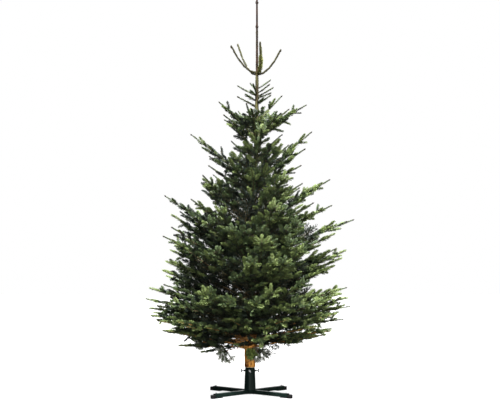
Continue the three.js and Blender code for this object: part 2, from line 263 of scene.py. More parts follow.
def bark_material():
    """Bark, furrowed: orange brown at the foot, near black in the crown (painted shade), olive on the young
    stem, dark on the leader.
    """
    material, tree, shader = new_material("bark", Roughness=0.85, Specular_IOR_Level=0.15)
    place = new_node(tree, "TexCoord")
    split = new_node(tree, "SeparateXYZ")
    tree.links.new(place.outputs["Object"], split.inputs["Vector"])
    height = new_node(tree, "MapRange", From_Max=2.6)
    tree.links.new(split.outputs["Z"], height.inputs["Value"])
    up_the_trunk = [
        # share of 2.6 m, colour
        (0.0, (0.54, 0.25, 0.05)),
        (0.12, (0.5, 0.225, 0.05)),
        (0.14, (0.3, 0.135, 0.032)),
        # from 0.2 to 0.6 the trunk stands inside the crown, and its near black is painted shade
        (0.2, (0.03, 0.02, 0.012)),
        (0.6, (0.025, 0.022, 0.012)),
        (0.7, (0.045, 0.042, 0.016)),
        (0.79, (0.062, 0.056, 0.02)),
        (0.81, (0.02, 0.0085, 0.004)),
    ]
    by_height = add_ramp(tree, height.outputs["Result"], up_the_trunk)
    from_furrows = [(0.42, (0.2, 0.13, 0.1)), (0.53, (0.8, 0.8, 0.8)), (0.72, (1.0, 1.0, 0.9))]
    shade = add_ramp(tree, add_noise(tree, 55, 6, (1, 1, 0.45)), from_furrows)
    mix = new_node(tree, "Mix", Factor=1.0)
    mix.data_type = "RGBA"
    mix.blend_type = "MULTIPLY"
    tree.links.new(by_height, mix.inputs["A"])
    tree.links.new(shade, mix.inputs["B"])
    tree.links.new(mix.outputs["Result"], shader.inputs["Base Color"])
    add_bump(tree, shader, add_noise(tree, 120, 6, (1, 1, 0.35)), 0.6, 0.004)
    return material


BARK = bark_material()
LIMB_BARK = {
    zone: speckled_material("limb_bark_" + zone, dark, light, 0.8, 70, 0.0008)
    for zone, dark, light in [
        ("top", (0.04, 0.04, 0.015), (0.1, 0.095, 0.04)),
        ("middle", (0.03, 0.025, 0.014), (0.07, 0.055, 0.03)),
        ("low", (0.035, 0.025, 0.014), (0.085, 0.055, 0.028)),
        ("foot", (0.2, 0.095, 0.03), (0.4, 0.2, 0.06)),
    ]
}
TWIG = speckled_material("twig_bark", (0.03, 0.025, 0.012), (0.075, 0.06, 0.025), 0.8, 60, 0.0006)
BUD = speckled_material("bud_scales", (0.009, 0.006, 0.005), (0.025, 0.016, 0.01), 0.5, 300, 0.0004)
CUT_WOOD = speckled_material(
    "cut_wood", (0.5, 0.34, 0.18), (0.66, 0.5, 0.3), 0.7, 80, 0.0004, stretch=(1, 1, 0.1)
)
GREEN_PAINT = speckled_material(
    "green_paint", (0.0025, 0.0055, 0.0046), (0.0048, 0.0095, 0.0078), 0.4, 90, 0.0002, gloss=0.04
)
BLACK_PAINT = speckled_material("black_paint", (0.005, 0.005, 0.005), (0.01, 0.01, 0.01), 0.4, 90, 0.0002)
BLACK_PLASTIC = speckled_material(
    "black_plastic", (0.003, 0.003, 0.003), (0.006, 0.006, 0.006), 0.5, 200, 0.0002, gloss=0.06
)
ZINC = speckled_material(
    "zinc_plate", (0.16, 0.16, 0.165), (0.26, 0.265, 0.27), 0.45, 120, 0.0002, gloss=0.5, metallic=1.0
)


# ---- Trunk ----

def rings_of(node):
    """Heights, centres and radii of the rings of a CAD node that is built of level rings."""
    vertices = node_points(node)
    heights = np.unique(np.round(vertices[:, 2], 4))
    rings = [np.unique(np.round(vertices[np.abs(vertices[:, 2] - z) < 1e-4], 5), axis=0) for z in heights]
    centres = np.array([ring.mean(axis=0) for ring in rings])
    radii = [np.linalg.norm(ring - centre, axis=1).max() for ring, centre in zip(rings, centres)]
    return heights, centres, np.array(radii)


TRUNK_Z, TRUNK_CENTRE, TRUNK_RADIUS = rings_of("trunk")


def trunk_at(z):
    """The point on the trunk's axis at a height, or a column of coordinates for each of many heights."""
    return np.array([*(np.interp(z, TRUNK_Z, TRUNK_CENTRE[:, k]) for k in (0, 1)), z])


def bark_relief(points, outward, radius, strength):
    """Moves points on a round limb out and in: low lumps, upright furrows and small blisters."""
    moved = np.empty_like(points)
    for i, (p, out, r) in enumerate(zip(points, outward, radius)):
        lump = noise.noise(Vector(p) * 9)
        furrow = noise.noise(Vector((p[0] * 90, p[1] * 90, p[2] * 16)))
        blister = max(noise.noise(Vector(p) * 60 + Vector((7, 3, 1))) - 0.25, 0)
        moved[i] = p + out * (strength * r * (0.05 * lump + 0.04 * furrow + 0.12 * blister))
    return moved


def build_trunk():
    """The trunk above the stand's tube, with bark relief, and its milled butt of bare wood."""
    sides = 36
    fine, coarse = 0.008, 0.012
    leader_foot = 2.12
    tip_radius = 0.0015
    shoulder = TRUNK_Z[TRUNK_RADIUS > TRUNK_RADIUS[0] * 1.1][0]
    stem = np.arange(shoulder, leader_foot, fine)
    body = np.concatenate([stem, np.arange(leader_foot, TRUNK_Z[-1], coarse), [TRUNK_Z[-1]]])
    turn = np.tile(ring_angles(sides), len(body))
    z = np.repeat(body, sides)
    outward = np.stack([np.cos(turn), np.sin(turn), 0 * z], 1)
    radius = np.interp(z, TRUNK_Z, TRUNK_RADIUS) + LEADER_BARK * (z > TOP_WHORL)
    centre = trunk_at(z).T
    points = bark_relief(centre + outward * radius[:, None], outward, radius, 1.0)
    points[-sides:] = centre[-sides:] + outward[-sides:] * tip_radius
    vertices = np.concatenate([points, [trunk_at(body[0]), trunk_at(body[-1])]])
    faces = tube_faces(len(body), sides).tolist()
    low, high = len(vertices) - 2, len(vertices) - 1
    top = (len(body) - 1) * sides
    for k in range(sides):
        after = (k + 1) % sides
        faces.append((low, after, k))
        faces.append((high, top + k, top + after))
    new_piece("trunk_bark", (vertices, faces), BARK, ["trunk"], smooth=True)

    foot, butt, edge = TRUNK_Z[0], TRUNK_RADIUS[0], 0.002
    rings = [(foot, butt - edge), (foot + edge, butt), (shoulder - edge, butt), (shoulder, butt + 2 * edge)]
    lathe("trunk_butt", rings, 48, CUT_WOOD, axis=trunk_at(shoulder)[:2])


# ---- Growth of the crown ----

# How the needles of each kind of shoot stand: the angle to the shoot of those on its top and of those at its
# side, how far round from its top they stand, all in degrees, and their length, width and number in a metre.
KINDS = {
    "finger": (44, 48, 125, 0.0185, 0.0048, 1080),
    "hand": (40, 46, 140, 0.0165, 0.0043, 1250),
    "thin": (20, 24, 180, 0.0145, 0.003, 1300),
    "inner": (52, 62, 125, 0.024, 0.0056, 330),
    "bough": (38, 50, 170, 0.0205, 0.005, 640),
    "weak": (48, 60, 180, 0.0135, 0.0028, 900),
    "stem": (16, 20, 180, 0.013, 0.0028, 2000),
    "upright": (28, 34, 180, 0.02, 0.003, 1700),
}
ZONES = ["top", "middle", "low", "foot"]

# Side shoots, by the order of the shoot that bears them: 0 is a bough, 1 its side shoots, 2 theirs.
LATERAL_SHARE = (0.62, 0.56, 0.45)  # their length, of what is left of the bearing shoot
LATERAL_KEPT = (1.0, 0.8, 0.25)  # how many of those at a year's end are there
BETWEEN_CHANCE = (0.5, 0.2)  # of one between two years' ends
BETWEEN_SHARE = 0.4
LATERAL_ANGLE = radians(41)
SHORTEST = 0.048
YEAR_LENGTH = 0.075  # a side shoot's growth in a year
LONGEST_YEAR = 0.09  # a bough's growth in a year, and the most of a side shoot
# Shoots that rise from a bough or hang from it: up or down, chance, scatter sideways, share of the length.
UPRIGHTS = [(1, 0.4, 0.3, 0.4), (-1, 0.35, 0.5, 0.45)]
SMALL_BUD, LEADER_BUD, TOP_BUD = 0.005, 0.0052, 0.0064
MASS_PAST, MASS_ABOVE = 0.01, 0.012  # how far a CAD mass reaches past the end of its bough, and above it
SPRAY_VARIANT = 11  # of the random sequences of the low sprays
TWIG_RADIUS = 0.0012  # at the tip of a shoot
TWIG_YEAR = 0.0006  # what its radius gains in a year

SLIM_TIPS = {"top": 1.0, "middle": 0.75, "low": 0.25, "foot": 0.1}  # how many boughs end in a slender shoot
SHADED_DEPTH = 0.21  # how far inside the crown the needles thin out and take the darkest tone, partly as painted shade
SHADED_OUT = 0.3  # as a share of a bough's reach, within which they take the darkest tone as well: partly their age, partly painted shade
PAINTED_SUNNY_SIDE = 0.15  # how much lighter the shoots on the right are, and darker on the left: painted light from the right
LIGHT_SCATTER = 0.16
AGE_SHADE = 0.1
YOUNG_LIGHT, GROWN_LIGHT = 0.82, 0.6  # the least painted light of a shoot with the young and with the grown tone

random = np.random.default_rng(SEED)
growths = []
limbs = []
bud_clusters = []


def start_sequence(*place):
    """Starts a random sequence of one place's own, so that it stays the same when another place changes."""
    global random
    random = np.random.default_rng([SEED, *place])


def golden_share(k):
    """A share of 1 that is far from those of the next whole numbers."""
    return k * GOLDEN_SHARE % 1


def add_growth(start, end, up, wood, kind, tone, zone, order=1, bow=0):
    """Records a shoot of one year, whose middle is moved by its bow, and the needles that it bears.

    wood is its radius at its start and end. At order 0 it lies along a limb or the stem and has no twig.
    """
    place = dict(start=start, middle=(start + end) / 2 + bow, end=end, up=up, wood=wood)
    growths.append(dict(place, kind=kind, tone=tone, zone=zone, order=order))


def add_twig(start, way, length, kind, tone, zone):
    """A single straight shoot."""
    add_growth(start, start + way * length, across(way)[1], (0.002, 0.0015), kind, tone, zone)


def chain(start, direction, length, years, forward):
    """The ends of a shoot's yearly growths, as it turns forward and up."""
    points = [start]
    way = unit(direction)
    for _ in range(years):
        step = length / years * random.uniform(0.9, 1.1)
        points.append(points[-1] + way * step)
        wander = random.normal(0, 0.06, 3)
        way = unit(way + forward * 0.2 + UP * 0.04 + wander)
    return points


def path_length(points):
    return sum(np.linalg.norm(b - a) for a, b in zip(points, points[1:]))


def clothe(points, up, order, bough, bare=0.0):
    """Adds the yearly growths along a shoot, and the side shoots at the end of each and between."""
    years = len(points) - 1
    total = path_length(points)
    for j in range(years):
        start, end = points[j], points[j + 1]
        age = years - 1 - j
        way = unit(end - start)
        before = unit(start - points[j - 1]) if j else way
        bow = (before - way) * np.linalg.norm(end - start) * 0.12
        side, normal = across(way, up)
        out = np.linalg.norm(end[:2] - bough["root"][:2]) / bough["reach"]
        kind, tone = dress(order, age, out, (j + 0.5) / years < bare, bough)
        wood = TWIG_RADIUS + TWIG_YEAR * age
        add_growth(start, end, normal, (wood + TWIG_YEAR, wood), kind, tone, bough["zone"], order, bow)
        if kind == "thin":
            bud_clusters.append((end + way * 0.004, way, SMALL_BUD))
        if order > 2:
            continue
        remaining = total * (1 - j / years)
        bald = j / years < bare or (order > 0 and out < 0.35 and random.random() < 0.6)
        if j:
            for turn in (1, -1):
                if random.random() > LATERAL_KEPT[order] or (bald and random.random() < 0.7):
                    continue
                add_lateral(start, way, side * turn, normal, remaining, order, years - j, bough)
            for turn, chance, scatter, share in UPRIGHTS if order == 0 else ():
                if random.random() < chance:
                    rising = unit(normal * turn + side * random.normal(0, scatter))
                    plane = -way if turn > 0 else normal
                    add_lateral(start, way, rising, plane, remaining * share, order, years - j, bough)
        if order < 2 and age > 0 and not bald:
            for turn in (1, -1):
                if random.random() < BETWEEN_CHANCE[order]:
                    at = start + (end - start) * random.uniform(0.35, 0.7)
                    length = remaining * BETWEEN_SHARE
                    add_lateral(at, way, side * turn, normal, length, order, years - j - 1, bough)


def add_lateral(start, way, side, normal, remaining, order, years_left, bough):
    """A side shoot that leaves its parent at an angle, in the plane of the spray."""
    angle = LATERAL_ANGLE + random.normal(0, 0.1)
    direction = way * cos(angle) + side * sin(angle) + normal * random.normal(0.03, 0.14)
    length = max(remaining * LATERAL_SHARE[order] * random.uniform(0.82, 1.15), SHORTEST)
    years = int(np.clip(round(length / YEAR_LENGTH), 1, max(years_left, 1)))
    points = chain(start, direction, min(length, years * LONGEST_YEAR), years, way)
    tilt = unit(normal + random.normal(0, 0.15, 3))
    clothe(points, tilt, order + 1, bough)


def dress(order, age, out, bare, bough):
    """The kind and tone of a year's needles: paler the younger it is and, as painted light, the further out
    it is; few deep inside.
    """
    depth = (1 - out) * bough["reach"]
    if bare or (depth > SHADED_DEPTH and random.random() < 0.2):
        return None, "old"
    if order == 0 and age == 0:
        return ("thin", "grown") if random.random() < SLIM_TIPS[bough["zone"]] else ("finger", "young")
    if order == 0:
        return "bough", "grown" if age < 3 else "old"
    # deep or inner shoots take the darkest, bluish tone: partly older needles, partly painted shade
    if depth > SHADED_DEPTH or out < SHADED_OUT:
        return "inner", "old"
    # painted light and shade: the tone is lighter the further out and the more to the right a shoot grows,
    # and darker with its age
    light = out + bough["sun"] + random.normal(0, LIGHT_SCATTER) - AGE_SHADE * age
    tone = "young" if light > YOUNG_LIGHT else "grown" if light > GROWN_LIGHT else "old"
    if age == 0:
        slim = order == 1 and out > 0.85 and random.random() < 0.25 * SLIM_TIPS[bough["zone"]]
        return ("thin", "grown") if slim else ("finger", tone)
    return ("finger", tone) if age == 1 else ("inner", "old")


def bough_points(root, azimuth, reach, rise, bend, years):
    """The ends of a bough's yearly growths, on the curve that its whorl follows."""
    growth = random.uniform(0.88, 1.12, years)
    shares = np.concatenate([[0], np.cumsum(growth) / growth.sum()])
    sway = random.normal(0, 0.012, years + 1) * reach
    sway[0] = sway[-1] = 0
    side = polar(azimuth + QUARTER, 1)
    return [
        root + polar(azimuth, reach * s) + side * w + UP * rise * s ** bend
        for s, w in zip(shares, sway)
    ]


def add_bough(root, azimuth, reach, rise, habit, main=False):
    """A bough with all its shoots. habit holds its years, bend, bare share, wood and zone."""
    start_sequence(round(degrees(azimuth)) % 360, round(1000 * root[2]))
    zone = habit["zone"]
    points = bough_points(root, azimuth, reach, rise, habit["bend"], habit["years"])
    # sun is painted light: shoots on the right get a lighter tone, those on the left a darker one
    bough = dict(root=root, reach=reach, zone=zone, sun=PAINTED_SUNNY_SIDE * cos(azimuth))
    clothe(points, UP, 0, bough, habit["bare"])
    if zone != "foot" and reach > 0.3 and sin(azimuth) < -0.75:
        add_hand(points, zone, 1.0 if main and zone != "top" else random.uniform(0, 0.8))
    limbs.append((points, habit["wood"], zone))


def add_hand(points, zone, brightness):
    """Short shoots spread like fingers around the end of a bough, above and to both sides."""
    end = points[-1] * 0.7 + points[-2] * 0.3
    way = unit(points[-1] - points[-2])
    side, rise = across(way)
    for turn in (-5, 40, 90, 140, 185):
        around = radians(turn + random.normal(0, 10))
        outwards = side * cos(around) + rise * sin(around)
        finger = unit(way * 0.7 + outwards * 0.75)
        tip = end + finger * random.uniform(0.045, 0.075)
        tone = "young" if brightness + random.uniform(-0.25, 0.25) > 0.62 else "grown"
        up = unit(np.cross(side, finger))
        add_growth(end, tip, up, (0.002, 0.0015), "hand", tone, zone, bow=way * 0.003)


def nodes_named(start):
    return sorted(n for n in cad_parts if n.startswith(start))


def tips_of(whorl):
    """Azimuth, reach and rise of the furthest tip of each CAD mass of a whorl."""
    root = trunk_at(WHORLS[whorl]["height"])
    tips = []
    for node in nodes_named(whorl + "_foliage"):
        vertices = node_points(node)
        away = np.linalg.norm(vertices[:, :2] - root[:2], axis=1)
        tip = vertices[away.argmax()]
        azimuth = atan2(tip[1] - root[1], tip[0] - root[0])
        tips.append((azimuth, away.max() - MASS_PAST, tip[2] - root[2] - MASS_ABOVE))
    return tips


TIPS = {whorl: tips_of(whorl) for whorl in WHORLS}
ZONE_NODES = {
    zone: [n for w, facts in WHORLS.items() if facts["zone"] == zone for n in nodes_named(w + "_foliage")]
    for zone in ZONES
}
ZONE_NODES["top"] += TOP_SHOOTS
ZONE_NODES["foot"].append("low_spray")


def reach_towards(whorl, azimuth):
    """Reach and rise of a whorl towards an azimuth, from its nearest boughs."""
    weights = [max(cos(azimuth - a), 0.05) ** 4 for a, _, _ in TIPS[whorl]]
    return [np.average([tip[k] for tip in TIPS[whorl]], weights=weights) for k in (1, 2)]


def grow_whorl(whorl, facts):
    """A bough along each CAD mass of a whorl, out to the mass's furthest tip."""
    root = trunk_at(facts["height"])
    for azimuth, reach, rise in TIPS[whorl]:
        share = facts.get("front", 1.0) if sin(azimuth) < -0.7 else 1.0
        add_bough(root, azimuth, reach * share, rise * share, facts, main=True)


def grow_between(lower, upper, count, share, turn, open_front=0):
    """Shorter boughs on the trunk between two whorls, except within some degrees of the front."""
    low, high = WHORLS[lower], WHORLS[upper]
    for k in range(count):
        azimuth = radians(turn) + k * GOLDEN_TURN
        if -sin(azimuth) > cos(radians(open_front)):
            continue
        part = 0.15 + 0.7 * ((k * 3) % count + 0.5) / count
        z = low["height"] + (high["height"] - low["height"]) * part
        (low_reach, low_rise), (high_reach, high_rise) = (reach_towards(w, azimuth) for w in (lower, upper))
        reach = (low_reach + (high_reach - low_reach) * part) * share * (0.92 + 0.13 * golden_share(k))
        rise = (low_rise + (high_rise - low_rise) * part) * share
        years = max(round(reach / LONGEST_YEAR), 2)
        habit = dict(low, years=years, bare=0.2, wood=low["wood"] * 0.75)
        add_bough(trunk_at(z), azimuth, reach, rise, habit)


def grow_top_whorl():
    """The five unbranched shoots under the leader. Those that stand upright have fuller needles."""
    for k, node in enumerate(TOP_SHOOTS):
        vertices = node_points(node)
        tip = vertices[vertices[:, 2].argmax()]
        root = trunk_at(TOP_WHORL + 0.012 * (k % 2))
        root[0] = trunk_at(TOP_WHORL)[0]
        halfway = np.array([(root[0] + tip[0]) / 2, (root[1] + tip[1]) / 2, root[2]])
        upright = np.linalg.norm(tip[:2] - root[:2]) < 0.1
        if upright:
            halfway[0] = tip[0] + 0.012
        add_curve(root, halfway, tip, upright)
        bud_clusters.append((tip - UP * 0.007, unit(tip - halfway), TOP_BUD))


def add_curve(root, halfway, tip, upright):
    """A shoot of the top whorl, in four stretches."""
    ends = bezier(root, halfway, tip, np.linspace(0, 1, 5))
    for k in range(4):
        start, end = ends[k], ends[k + 1]
        kind, tone = ("upright", "olive") if upright and k < 3 else ("stem", "stem")
        up = unit(across(end - start)[1])
        wood = 0.0054 - 0.0005 * k
        add_growth(start, end, up, (wood + 0.0004, wood), kind, tone, "top")


def grow_leader():
    """Close needles on the foot of the leader and on the stem under it, and the leader's buds."""
    steps = [*np.linspace(*NEEDLED_STEM, 5), *np.linspace(*NEEDLED_LEADER, 5)]
    for z0, z1 in zip(steps, steps[1:]):
        start, end = trunk_at(z0), trunk_at(z1)
        wood = np.interp(z0, TRUNK_Z, TRUNK_RADIUS)
        front = np.array([0, -1.0, 0])
        add_growth(start, end, front, (wood, wood), "stem", "stem", "top", order=0)
    for z in LEADER_BUDS:
        for k in range(5):
            a = k * GOLDEN_TURN
            at = trunk_at(z + 0.006 * (k % 2)) + polar(a, 0.0035)
            bud_clusters.append((at, unit(polar(a, 1, 1.1)), LEADER_BUD))


def grow_stem_shoots():
    """Short unbranched shoots on the stem under the top whorl."""
    shoots = [
        # height on the stem, azimuth, reach, rise, kind of needles
        (1.985, 20, 0.09, 0.06, "thin"),
        (1.975, 115, 0.1, 0.06, "thin"),
        (1.955, 345, 0.08, 0.05, "thin"),
        (1.95, 250, 0.07, 0.05, "thin"),
        (1.94, 175, 0.122, 0.062, "thin"),
        (1.935, 10, 0.104, 0.057, "thin"),
        (1.93, 222, 0.055, 0.03, "finger"),
        (1.925, 330, 0.1, 0.02, "thin"),
        (1.91, 70, 0.09, 0.05, "thin"),
        (1.9, 205, 0.08, 0.035, "finger"),
        (1.885, 350, 0.088, 0.05, "thin"),
        (1.88, 310, 0.07, 0.03, "finger"),
        (1.87, 185, 0.122, 0.057, "thin"),
        (1.86, 130, 0.09, 0.05, "thin"),
    ]
    for height, azimuth, reach, rise, kind in shoots:
        root = trunk_at(height)
        away = polar(radians(azimuth), 1)
        start = root + away * 0.006
        end = root + away * reach + UP * rise
        way = unit(end - start)
        add_growth(start, end, across(way)[1], (0.0028, 0.002), kind, "grown", "top", bow=UP * -0.006)
        if kind == "thin":
            bud_clusters.append((end, way, SMALL_BUD))


def grow_low_twigs():
    """Weak greyish sprays and a bare twig beside the trunk's foot, and a tuft of young shoots before it."""
    sprays = [
        # azimuth, height, reach of the bare stalk, size of the spray
        (191, 0.29, 0.155, 0.05),
        (187, 0.345, 0.31, 0.03),
        (322, 0.29, 0.07, 0.05),
        (75, 0.3, 0.11, 0.045),
    ]
    for azimuth, height, reach, size in sprays:
        start_sequence(azimuth, SPRAY_VARIANT)
        grow_hanging(trunk_at(height), radians(azimuth), reach, size)
    hook = trunk_at(0.33) + polar(radians(186), 0.1)
    hanging = [hook + np.array(step) for step in ((0, 0, 0), (-0.025, 0, -0.03), (-0.06, 0, -0.06))]
    limbs.append((hanging, 0.003, "low"))
    for k in range(9):
        azimuth = radians(262 + 8 * k)
        start = trunk_at(0.3 - 0.012 * (k % 3)) + polar(azimuth, 0.036)
        way = unit(polar(azimuth, 0.5, -1.0 + 0.12 * k) + np.array([0.09 * k - 0.2, 0, 0]))
        add_twig(start, way, random.uniform(0.045, 0.06), "finger", "fresh" if k < 5 else "pale", "foot")


def grow_hanging(root, azimuth, reach, size):
    """A bare stalk that ends in a round loose spray of short grey shoots, which hangs outward and down."""
    away = polar(azimuth, 1)
    side = polar(azimuth + QUARTER, 1)
    knot = root + away * reach - UP * 0.012
    limbs.append(([root, root + away * reach * 0.5 + UP * 0.003, knot], 0.0025, "foot"))
    for branch in range(6):
        angle = radians(-15 + 27 * branch)
        way = unit(away * cos(angle) - UP * sin(angle) + side * random.normal(0, 0.35))
        fork = knot + way * size * random.uniform(0.7, 1.0)
        add_growth(knot, fork, side, (0.0018, 0.0014), "weak", "grown", "foot")
        beside = unit(np.cross(way, side))
        for slant in (-50, -5, 42):
            turn = radians(slant + random.normal(0, 8))
            shoot = unit(way * cos(turn) + beside * sin(turn) + side * random.normal(0, 0.3))
            end = fork + shoot * size * random.uniform(0.65, 0.9)
            tone = "pale" if random.random() < 0.75 else "grown"
            add_growth(fork, end, side, (0.0014, 0.0011), "weak", tone, "foot")


def grow_inner_twigs():
    """Short shaded twigs along the trunk, which close the dark inside of the crown."""
    start_sequence(1)
    count = 90
    low, high = WHORLS["lowest"]["height"] + 0.05, WHORLS["third"]["height"] + 0.15
    for k in range(count):
        z = low + (high - low) * (k + 0.5) / count
        azimuth = k * GOLDEN_TURN
        start = trunk_at(z) + polar(azimuth, 0.02)
        way = unit(polar(azimuth, 1, random.uniform(0.1, 0.6)))
        zone = "low" if z < WHORLS["fifth"]["height"] else "middle"
        # their darkest tone is partly old needles, partly painted shade that darkens the inside of the crown
        add_twig(start, way, random.uniform(0.1, 0.17), "inner", "old", zone)


FILLING_BOUGHS = {
    # height on the trunk, reach, rise, azimuths
    "top": [
        (1.64, 0.22, 0.15, (20, 152, 205, 225, 312, 340)),
        (1.66, 0.18, 0.19, (50, 130, 250)),
        (1.75, 0.17, 0.185, (10,)),
        (1.66, 0.23, 0.205, (178,)),
        (1.66, 0.205, 0.18, (357, 22)),
        (1.36, 0.33, 0.22, (358,)),
        (1.33, 0.3, 0.2, (183,)),
        (1.3, 0.3, 0.17, (355,)),
        (1.25, 0.29, 0.22, (182, 252, 285)),
    ],
    "middle": [
        (0.95, 0.5, 0.26, (357,)),
        (0.86, 0.49, 0.28, (247, 291)),
        (0.8, 0.42, 0.22, (264, 279)),
        (0.8, 0.52, 0.27, (238, 303)),
        (0.76, 0.46, 0.27, (255, 296)),
        (0.8, 0.47, 0.37, (180,)),
        (0.72, 0.55, 0.29, (184,)),
    ],
    "low": [
        (0.68, 0.5, 0.24, (181,)),
        (0.69, 0.54, 0.26, (283, 298)),
        (0.64, 0.54, 0.26, (246, 304)),
        (0.58, 0.56, 0.25, (271, 284, 292)),
        (0.6, 0.55, 0.25, (168, 196)),
        (0.66, 0.56, 0.27, (2,)),
        (0.6, 0.57, 0.27, (3,)),
        (0.55, 0.56, 0.27, (356, 7)),
        (0.55, 0.56, 0.24, (187, 174)),
        (0.5, 0.58, 0.2, (191, 302)),
        (0.48, 0.58, 0.16, (352,)),
        (0.48, 0.53, 0.17, (244, 284)),
        (0.44, 0.52, 0.15, (255, 274, 302)),
        (0.43, 0.6, 0.17, (215, 315)),
        (0.44, 0.63, 0.12, (1, 178)),
        (0.47, 0.68, 0.075, (175,)),
        (0.43, 0.66, 0.07, (183,)),
        (0.4, 0.6, 0.075, (182, 4)),
    ],
    "foot": [
        (0.38, 0.5, 0.12, (256, 296)),
        (0.36, 0.43, 0.09, (267, 286)),
        (0.35, 0.54, 0.1, (226, 240, 318)),
        (0.35, 0.54, 0.06, (190, 345)),
        (0.31, 0.43, 0.03, (62, 118, 152)),
        (0.3, 0.5, 0.1, (185, 204)),
        (0.3, 0.47, 0.015, (193,)),
        (0.3, 0.47, 0.08, (340, 352)),
    ],
}


def grow_filling_boughs():
    """More boughs where the whorls would leave a gap at the front and at the sides."""
    for zone, rows in FILLING_BOUGHS.items():
        bare = 0.38 if zone == "foot" else 0.25
        for height, reach, rise, azimuths in rows:
            for azimuth in azimuths:
                length = reach * (0.95 + 0.1 * golden_share(azimuth))
                habit = dict(bend=0.95, years=round(length / LONGEST_YEAR), zone=zone, bare=bare, wood=0.006)
                add_bough(trunk_at(height), radians(azimuth), length, rise, habit)


def grow_crown():
    for whorl, facts in WHORLS.items():
        grow_whorl(whorl, facts)
    grow_between("third", "second", 10, 0.62, 115)
    grow_between("fourth", "third", 11, 0.68, -8)
    grow_between("fifth", "fourth", 9, 0.78, 65, open_front=40)
    grow_between("sixth", "fifth", 10, 0.92, 65, open_front=55)
    grow_between("seventh", "sixth", 12, 1.0, -5, open_front=55)
    grow_between("lowest", "seventh", 12, 1.02, 65, open_front=45)
    grow_filling_boughs()
    grow_inner_twigs()
    grow_top_whorl()
    grow_leader()
    grow_stem_shoots()
    grow_low_twigs()


# ---- Meshes of needles and twigs ----

MOST_NEEDLES = 95_000  # in one piece, at two triangles each
SHADED_SHARE = 0.3  # of a shoot's length, from its foot, whose needles take a darker tone: painted shade where its neighbours shade them
TONE_IN_PAINTED_SHADE = {"young": "grown", "grown": "old"}
NEEDLE_FOOT = 0.6  # a needle's width at its foot, as a share of that at its end
FORWARD_TIP = 0.55  # how far the last needles of a shoot lie forward
TIP_RADIUS = 0.0017  # of a bough's limb


def bezier(p0, p1, p2, t):
    t = t[:, None]
    return p0 * (1 - t) ** 2 + 2 * p1 * t * (1 - t) + p2 * t ** 2


def bezier_way(p0, p1, p2, t):
    t = t[:, None]
    return unit((p1 - p0) * (1 - t) + (p2 - p1) * t)


def columns(rows, *keys):
    """An array for each key of some growths."""
    return [np.array([row[key] for row in rows]) for key in keys]


def needle_mesh(rows, kind):
    """The needles on some growths of one kind, as a quad each, and which of them get painted shade."""
    p0, p1, p2, up, wood = columns(rows, "start", "middle", "end", "up", "wood")
    lift, spread, reach_round, long, wide, density = KINDS[kind]
    count = np.maximum((np.linalg.norm(p2 - p0, axis=1) * density).astype(int), 8)
    at = np.repeat(np.arange(len(rows)), count)
    n = len(at)
    first = np.repeat(np.cumsum(count) - count, count)
    t = (np.arange(n) - first + random.uniform(0, 1, n)) / count[at]
    base = bezier(p0[at], p1[at], p2[at], t)
    way = bezier_way(p0[at], p1[at], p2[at], t)
    side, normal = across(way, up[at])
    turn = (np.arange(n) * GOLDEN_SHARE + random.uniform(0, 0.12, n)) % 1
    around = np.radians(reach_round) * (2 * turn - 1)
    sideways = np.minimum(np.abs(around) / QUARTER, 1)
    angle = np.radians(lift + (spread - lift) * sideways)
    angle *= 1 + random.normal(0, 0.09, n)
    angle *= 1 - FORWARD_TIP * t ** 4
    out = normal * np.cos(around)[:, None] + side * np.sin(around)[:, None]
    along = way * np.cos(angle)[:, None] + out * np.sin(angle)[:, None]
    flat = unit(np.cross(along, normal + 0.15 * way))
    roll = (random.uniform(-1, 1, n) * (1.4 - 0.8 * sideways))[:, None]
    flat = flat * np.cos(roll) + np.cross(along, flat) * np.sin(roll)
    size = long * random.uniform(0.9, 1.06, n) * (1 - 0.3 * np.abs(2 * t - 1) ** 4)
    half = wide / 2 * random.uniform(0.85, 1.15, n)
    base = base + out * (wood[at, 1] * 0.7)[:, None]
    tip = base + along * size[:, None]
    foot = flat * (half * NEEDLE_FOOT)[:, None]
    head = flat * half[:, None]
    corners = np.stack([base - foot, base + foot, tip + head, tip - head], axis=1)
    return corners, t < SHADED_SHARE


def twig_mesh(rows, sides=3, rings=3):
    """Vertices and quads of the twigs of some growths: a tapering tube each."""
    p0, p1, p2, up, wood = columns(rows, "start", "middle", "end", "up", "wood")
    n = len(rows)
    vertices = np.empty((n, rings, sides, 3))
    for i in range(rings):
        t = np.full(n, i / (rings - 1))
        centre = bezier(p0, p1, p2, t)
        way = bezier_way(p0, p1, p2, t)
        side, normal = across(way, up)
        radius = (wood[:, 0] + (wood[:, 1] - wood[:, 0]) * t)[:, None]
        for k, a in enumerate(ring_angles(sides)):
            vertices[:, i, k] = centre + (side * cos(a) + normal * sin(a)) * radius
    one = tube_faces(rings, sides)
    faces = one[None] + (np.arange(n) * rings * sides)[:, None, None]
    return vertices.reshape(-1, 3), faces.reshape(-1, 4)


def build_needles():
    """Needles in pieces by zone and tone. Those at the foot of a shoot are a tone darker, as painted shade.
    """
    for zone in ZONES:
        quads = {tone: [] for tone in NEEDLES}
        for tone in NEEDLES:
            for kind in KINDS:
                rows = [g for g in growths if (g["kind"], g["tone"], g["zone"]) == (kind, tone, zone)]
                if rows:
                    corners, shaded = needle_mesh(rows, kind)
                    quads[tone].append(corners[~shaded])
                    # the needles at a shoot's foot go one tone darker: painted shade
                    quads[TONE_IN_PAINTED_SHADE.get(tone, tone)].append(corners[shaded])
        for tone, parts in quads.items():
            if parts:
                build_needle_pieces(zone, tone, np.concatenate(parts))


